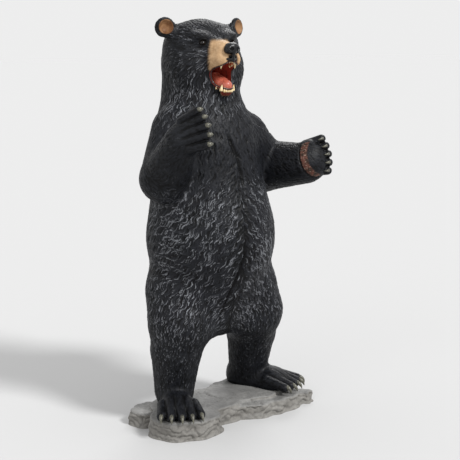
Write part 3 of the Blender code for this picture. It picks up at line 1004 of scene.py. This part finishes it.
def smooth_path(corners_of_path, steps=6):
    """A rounded path through the corners."""
    path = np.array(corners_of_path, float)
    finer = np.linspace(0, len(path) - 1, steps * (len(path) - 1) + 1)
    path = np.stack([np.interp(finer, range(len(path)), axis) for axis in path.T], axis=1)
    for _ in range(steps):
        path[1:-1] = (path[:-2] + 2 * path[1:-1] + path[2:]) / 4
    return path


gum_paint = Paint("gum_paint", (0.42, 0.085, 0.03), 0.25)
lip_paint = Paint("lip_paint", (0.018, 0.012, 0.012), 0.28)
GUMS = {
    "upper_gum": (4.2, [(-29, -36, 876), (-25, -62, 884), (-20, -78, 889), (-9, -88, 895)]),
    "lower_gum": (3.4, [(-23, -34, 831), (-19, -58, 821), (-15, -70, 818), (-7, -77, 816)]),
}
for name, (radius, right_half) in GUMS.items():
    left_half = [(-x, y, z) for x, y, z in reversed(right_half)]
    rope(name, smooth_path(right_half + left_half), radius, gum_paint)

LIP_POINTS, LIP_RADIUS = 72, 1.5
mouth_scoop = mouth_hollow()[0]
lip_path = []
back_to_front = np.linspace(0.15, 2.9, 240)
for bearing in np.linspace(0, 2 * math.pi, LIP_POINTS, endpoint=False):
    wide = np.sin(back_to_front)
    directions = [wide * math.cos(bearing), np.cos(back_to_front), wide * math.sin(bearing)]
    spots = mouth_scoop.middle + mouth_scoop.radii * np.stack(directions, axis=1)
    outside = np.flatnonzero(blended(flesh, spots) > -1.2)
    lip_path.append(spots[outside[0]] if len(outside) else spots[-1])
lip_path = np.array(lip_path)
for _ in range(3):
    lip_path = (np.roll(lip_path, 1, axis=0) + 2 * lip_path + np.roll(lip_path, -1, axis=0)) / 4
rope("lips", lip_path, LIP_RADIUS, lip_paint, closed=True)


# The tongue lies in the floor of the mouth with its tip raised behind the lower teeth. It is
# coral pink and wet looking, with a groove along its middle.
SMALL_GRAIN = 0.0014


def clay_piece(name, masses, paint):
    """A small piece of clay, pressed together from its masses and smoothed."""
    piece = clay_object([mass for mass in masses if not mass.hollow], name)
    remesh(piece, SMALL_GRAIN * 2)
    settle(piece, masses, 3)
    remesh(piece, SMALL_GRAIN)
    settle(piece, masses, 2)
    lift(piece)
    smooth(piece)
    hand_over(piece, paint)


tongue_paint = Paint("tongue_paint", roughness=0.38)
buds = tongue_paint.noise(160)
coral = tongue_paint.mottle(buds, 0.35, 0.7, (0.46, 0.115, 0.07), (0.27, 0.05, 0.03))
tongue_paint.give("Base Color", coral)
tongue_paint.roughen(buds, 0.0008)
tongue_masses = [
    Limb((0, -22, 840), (0, -50, 830), 21, 20, 0),
    Limb((0, -50, 830), (0, -71, 828), 20, 15, 3),
    Limb((0, -30, 859), (0, -90, 846), 5.5, 5.0, 4, hollow=True),
    Limb((-11, -30, 857), (-8, -86, 847), 2.6, 2.4, 3, hollow=True),
    Limb((11, -30, 857), (8, -86, 847), 2.6, 2.4, 3, hollow=True),
]
clay_piece("tongue", tongue_masses, tongue_paint)


# The nose is a broad pad of clay on the end of the muzzle, with two nostrils and a septum that
# runs down into the front lip. It is painted gloss black.
nose_paint = Paint("nose_paint", (0.004, 0.004, 0.005), 0.26, 0.3)
nose_paint.roughen(nose_paint.noise(420, 2), 0.0006)
nose_masses = [
    Lump((0, -95, 920), (20, 14, 12.5), 0),
    Lump((0, -92, 928), (16, 13, 6.5), 6),
    *both_sides(lambda s: Lump((s * 13, -94, 917), (8, 12, 10), 5)),
    Limb((0, -104, 914), (0, -98, 893), 4.2, 4, 5),
    *both_sides(lambda s: Limb((s * 3, -97, 893), (s * 14, -91, 895), 4, 3.2, 4)),
    *both_sides(lambda s: Lump((s * 8.5, -109, 919), (4.6, 8, 5.4), 2, hollow=True)),
    *both_sides(lambda s: Limb((s * 11, -107, 916), (s * 19, -101, 920), 2.4, 1.6, 2, hollow=True)),
]
clay_piece("nose", nose_masses, nose_paint)


# The eyes are balls of clay in the sockets, painted dark brown under gloss lacquer.
eye_paint = Paint("eye_paint", (0.006, 0.004, 0.003), 0.12, 0.35)
for side, name in ((1, "left_eye"), (-1, "right_eye")):
    ball = bmesh.new()
    place = Matrix.Translation((side * 46, -33, 934)) @ Matrix.Diagonal((7.8, 8, 6.2, 1))
    bmesh.ops.create_uvsphere(ball, u_segments=28, v_segments=18, radius=1, matrix=place)
    set_on_bear(ball, name, eye_paint)


# The rock is a second casting: a few flat stones run together, with ledges in their edges.
# It is painted grey in paler patches, and darker in the cracks and in the seams of its ledges.
class Slab:
    """A flat stone with an oval outline, a rounded rim and ledges in its edge."""

    def __init__(self, centre, radii, height, turn=0):
        sunk = 12
        self.ripple = sum(centre) / 40
        self.middle = np.array((*centre, (height - sunk) / 2), float)
        self.radii = np.array(radii, float)
        self.half = (height + sunk) / 2
        self.blend = 5
        self.hollow = False
        self.reach = self.radii.max() + self.half
        self.turn = math.radians(turn)

    def distance(self, points):
        rim = 6
        x, y, height = (points - self.middle).T
        cosine, sine = math.cos(self.turn), math.sin(self.turn)
        local = np.stack([x * cosine + y * sine, y * cosine - x * sine], axis=1)
        outside = off_egg(local, self.radii)
        bearing = np.arctan2(local[:, 1], local[:, 0])
        ledge = np.sin(points[:, 2] / 5.2 + 2 * np.sin(bearing * 3))
        outside += 2.6 * np.sin(bearing * 7 + self.ripple) + 1.8 * ledge + points[:, 2] * 0.1
        both = np.stack([outside + rim, np.abs(height) - self.half + rim], axis=1)
        return np.linalg.norm(np.maximum(both, 0), axis=1) + np.minimum(both.max(axis=1), 0) - rim

    def add_to(self, shape):
        place = Matrix.Translation(self.middle) @ Matrix.Rotation(self.turn, 4, "Z")
        size = Matrix.Diagonal((*self.radii, 1, 1))
        bmesh.ops.create_cone(
            shape,
            cap_ends=True,
            segments=40,
            radius1=1,
            radius2=1,
            depth=self.half * 2,
            matrix=place @ size,
        )


full = ROCK_THICKNESS / UNIT
ROCK_GRAINS = (0.008, 0.0039)
UNDERSIDE_GAP = 0.0002
stones = [
    Slab((-40, -4), (150, 94), full),
    Slab((-126, -70), (98, 82), full, turn=-12),
    Slab((-163, 40), (60, 50), full * 0.84),
    Slab((130, 14), (128, 100), full, turn=8),
    Slab((142, -62), (116, 52), full * 0.82, turn=2),
    Slab((258, -62), (38, 26), full * 0.7, turn=-20),
    Slab((108, 90), (40, 24), full * 0.92),
]
rock = clay_object(stones, "rock")
for grain in ROCK_GRAINS:
    remesh(rock, grain)
    settle(rock, stones, 2)
CRACKS = [
    [(96, -104), (84, -70), (58, -52), (20, -40), (-18, -46)],
    [(58, -52), (70, -20), (64, 14), (86, 44)],
    [(250, -30), (214, -60), (176, -84), (150, -112)],
    [(-150, -30), (-176, 4), (-214, 16)],
    [(20, -40), (6, 0), (-10, 60)],
]


def weather(obj):
    """Breaks the stone's edge into ledges, wears its top and opens the cracks."""
    points, normals = corners(obj) / UNIT, corners(obj, "normal")
    x, y, z = points.T
    steep = 1 - fade(np.abs(normals[:, 2]), 0.25, 0.8)
    broad = np.array([noise.fractal(Vector(spot) * 0.016, 0.7, 2.0, 4) for spot in points])
    small = np.array([noise.fractal(Vector(spot) * 0.10, 0.8, 2.0, 4) for spot in points])
    layer = z / 15 + 1.1 * broad + 0.006 * x
    seam = np.exp(-(((layer - np.round(layer)) / 0.13) ** 2))
    crack = np.zeros(len(points))
    for path in CRACKS:
        path = smooth_path([(*corner, 0) for corner in path])[:, :2]
        for spot in path:
            wide = 2.2 + 1.4 * broad
            gap = np.hypot(x - spot[0] - 7 * small, y - spot[1] + 7 * broad)
            crack = np.maximum(crack, np.exp(-((gap / wide) ** 2)))
    feet = [mass for name in ("left_foot", "right_foot") for mass in limb_masses[name]]
    from_feet = blended(feet, points - (0, 0, full))
    clear = fade(from_feet, 3, 26)
    on_edge = 1.8 + 2.4 * broad + 3.2 * seam
    on_top = 2.6 * (broad + 0.5) + 0.7 * small
    sunk = steep * on_edge + (1 - steep) * on_top
    sunk = np.maximum(sunk, 0) * clear + 2.6 * crack * clear
    sunk -= 2.2 * np.exp(-(((from_feet - 5) / 4) ** 2)) * (1 - steep)
    sunk *= fade(z, 1, 5)
    move_corners(obj, (points - normals * sunk[:, None]) * UNIT)
    add_attribute(obj, "dark", np.clip(np.maximum(0.9 * crack, 0.5 * seam * steep), 0, 1))
    add_attribute(obj, "edge", steep)


weather(rock)
cut_away(rock, (0, 0, UNDERSIDE_GAP), DOWN)
for face in rock.data.polygons:
    face.use_smooth = len(face.vertices) < 5
rock_paint = Paint("rock_paint", roughness=0.62, specular=0.3)
pits = rock_paint.noise(55, 6, 0.62)
patches = rock_paint.noise(7, 5)
STONE, PALE_STONE = (0.115, 0.114, 0.111), (0.215, 0.212, 0.204)
EDGE_STONE, SPECKS, DARKER_IN_CRACKS = (0.22, 0.205, 0.18), (0.065, 0.063, 0.060), (0.045, 0.042, 0.038)
colour = rock_paint.mottle(patches, 0.36, 0.66, STONE, PALE_STONE)
layers = (
    (rock_paint.times(rock_paint.attribute("edge"), 0.5), EDGE_STONE),
    (rock_paint.spread(pits, 0.42, 0.75, 0.0, 0.55), SPECKS),
    # Darker in the cracks and along the seams of the ledges.
    (rock_paint.times(rock_paint.attribute("dark"), 0.75), DARKER_IN_CRACKS),
)
for share, layer in layers:
    colour = rock_paint.blend(share, colour, layer)
rock_paint.give("Base Color", colour)
rock_paint.roughen(pits, 0.0022)
hand_over(rock, rock_paint, "rock_base")

# The floor is plain and pale, and the light is that of a soft studio.
FLOOR_SIZE = 60
FLOOR_GREY, BACKDROP = 0.487, 0.85
floor_shape = bmesh.new()
bmesh.ops.create_grid(floor_shape, x_segments=1, y_segments=1, size=FLOOR_SIZE)
floor = object_from(floor_shape, "floor")
floor_paint = Paint("floor_paint", (FLOOR_GREY, FLOOR_GREY, FLOOR_GREY), 1.0, 0.0)
floor.data.materials.append(floor_paint.material)

world = bpy.data.worlds.new("studio")
bpy.context.scene.world = world
world.use_nodes = True
backdrop = world.node_tree.nodes["Background"]
backdrop.inputs["Color"].default_value = (1, 1, 1, 1)
backdrop.inputs["Strength"].default_value = BACKDROP
LIGHTS = {
    "key": ((0.9, -3.0, 3.0), 3.0, 12),
    "fill": ((-3.2, -1.6, 1.6), 0.5, 40),
    "rim": ((2.6, 2.4, 2.6), 0.9, 25),
}
for name, (place, power, softness) in LIGHTS.items():
    lamp = bpy.data.lights.new(name, "SUN")
    lamp.energy, lamp.angle = power, math.radians(softness)
    light = object_of(lamp, name)
    light.location = place
    light.rotation_euler = (-Vector(place)).to_track_quat("-Z", "Y").to_euler()

bpy.context.scene.view_settings.view_transform = "Standard"
